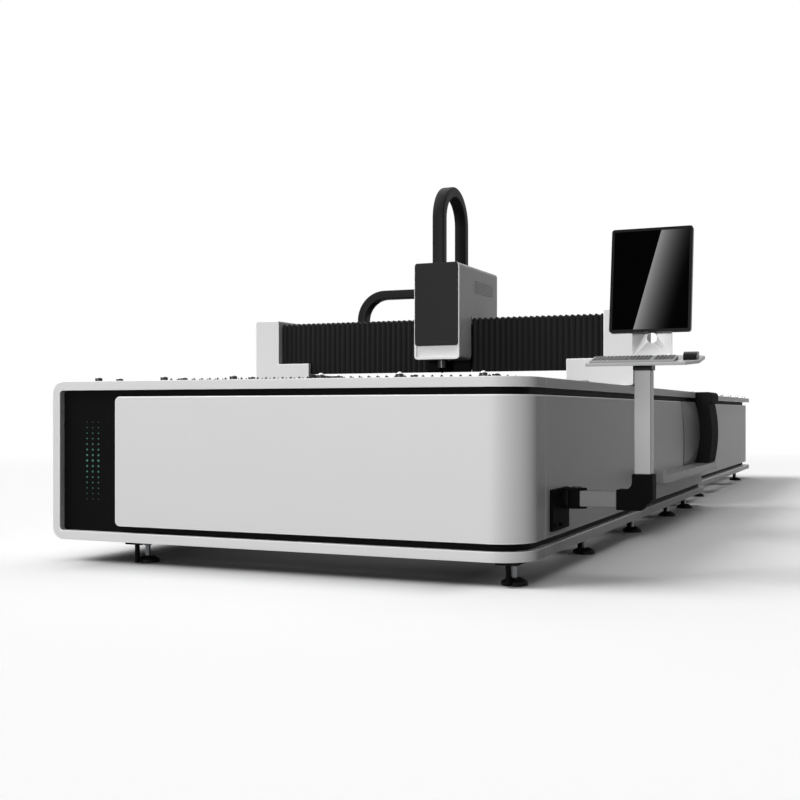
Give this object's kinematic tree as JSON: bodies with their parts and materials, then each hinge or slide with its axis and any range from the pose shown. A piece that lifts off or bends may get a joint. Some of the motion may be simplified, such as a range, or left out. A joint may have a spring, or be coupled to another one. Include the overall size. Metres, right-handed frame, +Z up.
{
  "type": "fiber laser cutting machine",
  "caption": "Open-bed fiber laser cutter with a sliding gantry and cutting head, a toothed-slat pallet that runs out to a rear shuttle table, and a swing-arm operator console.",
  "frame": {"origin": "middle of the whole machine's footprint, on the floor", "axes": "+Z up, +Y from the bed's front towards the shuttle table, +X towards the console"},
  "size_m": [2.977, 8.4, 2.042],
  "materials": {
    "white_paint": "satin",
    "grey_paint": "satin",
    "dark_paint": "satin",
    "black_paint": "satin",
    "steel": "brushed",
    "bellows_fabric": "matte",
    "carrier_plastic": "matte",
    "light_plastic": "matte",
    "black_plastic": "satin",
    "screen_gloss": "gloss",
    "light_green": "gloss",
    "tool_aluminium": "satin",
    "nozzle_brass": "satin"
  },
  "bodies": {
    "bed": {"bed_frame": "dark_paint", "lower_rail": "white_paint", "upper_rail": "white_paint", "front_left_post": "white_paint", "recess_liner": "black_paint", "front_panel": "white_paint", "right_panel": "white_paint", "left_panel": "white_paint", "bay_panel": "grey_paint", "side_pod": "black_paint", "sill_ledge": "grey_paint", "sill_block": "grey_paint", "rear_panel": "white_paint", "status_lights": "light_green", "loading_deck": "dark_paint", "ball_units": "steel", "linear_rails": "steel", "gear_racks": "steel", "pallet_tracks": "steel", "foot_brackets": "black_paint", "foot_screws": "steel", "foot_pads": "black_paint", "table_frame": "dark_paint", "table_upper_rail": "white_paint", "table_lower_rail": "white_paint", "table_liner": "black_paint", "table_right_panel": "white_paint", "table_left_panel": "white_paint", "table_rear_panel": "white_paint", "guide_rollers": "steel", "arm_bracket": "black_paint", "swing_pin": "steel"},
    "pallet": {"pallet_frame": "dark_paint", "slats": "steel"},
    "gantry": {"gantry_beam": "dark_paint", "left_end_housing": "white_paint", "right_end_housing": "white_paint", "bearing_blocks": "steel", "x_rails": "steel", "chain_tray": "dark_paint", "left_bellows": "bellows_fabric", "right_bellows": "bellows_fabric", "x_chain": "carrier_plastic"},
    "carriage": {"carriage_plate": "steel", "head_housing": "white_paint", "head_cover": "dark_paint", "z_rail": "steel", "cable_loop": "carrier_plastic"},
    "z_slide": {"cutting_head": "tool_aluminium", "nozzle": "nozzle_brass"},
    "console_arm": {"arm_knuckle": "black_paint", "swing_arm": "grey_paint", "arm_elbow": "black_paint", "console_post": "grey_paint"},
    "console": {"tray_hub": "black_paint", "tray": "grey_paint", "keyboard": "light_plastic", "mouse": "black_plastic", "monitor_stand": "white_paint"},
    "display": {"monitor": "black_plastic", "screen": "screen_gloss"}
  },
  "joints": [
    {"name": "gantry_slide", "type": "slide", "parent": "bed", "child": "gantry", "axis": [0, 1, 0], "range_m": [-1.15, 1.75]},
    {"name": "carriage_slide", "type": "slide", "parent": "gantry", "child": "carriage", "axis": [1, 0, 0], "range_m": [-0.74, 0.56], "deforming": ["left_bellows", "right_bellows", "x_chain"]},
    {"name": "head_lift", "type": "slide", "parent": "carriage", "child": "z_slide", "axis": [0, 0, 1], "range_m": [-0.04, 0.08], "deforming": ["cable_loop"]},
    {"name": "pallet_slide", "type": "slide", "parent": "bed", "child": "pallet", "axis": [0, 1, 0], "range_m": [0, 3.95]},
    {"name": "arm_swing", "type": "hinge", "parent": "bed", "child": "console_arm", "pos_m": [0.9445, -3.651, 0.329], "axis": [0, 0, 1], "range_deg": [-60, 15]},
    {"name": "console_swivel", "type": "hinge", "parent": "console_arm", "child": "console", "pos_m": [1.2375, -3.651, 0.89], "axis": [0, 0, 1], "range_deg": [-40, 40]},
    {"name": "screen_tilt", "type": "hinge", "parent": "console", "child": "display", "pos_m": [1.2805, -3.694, 1.18], "axis": [1, 0, 0], "range_deg": [-20, 8]}
  ]
}
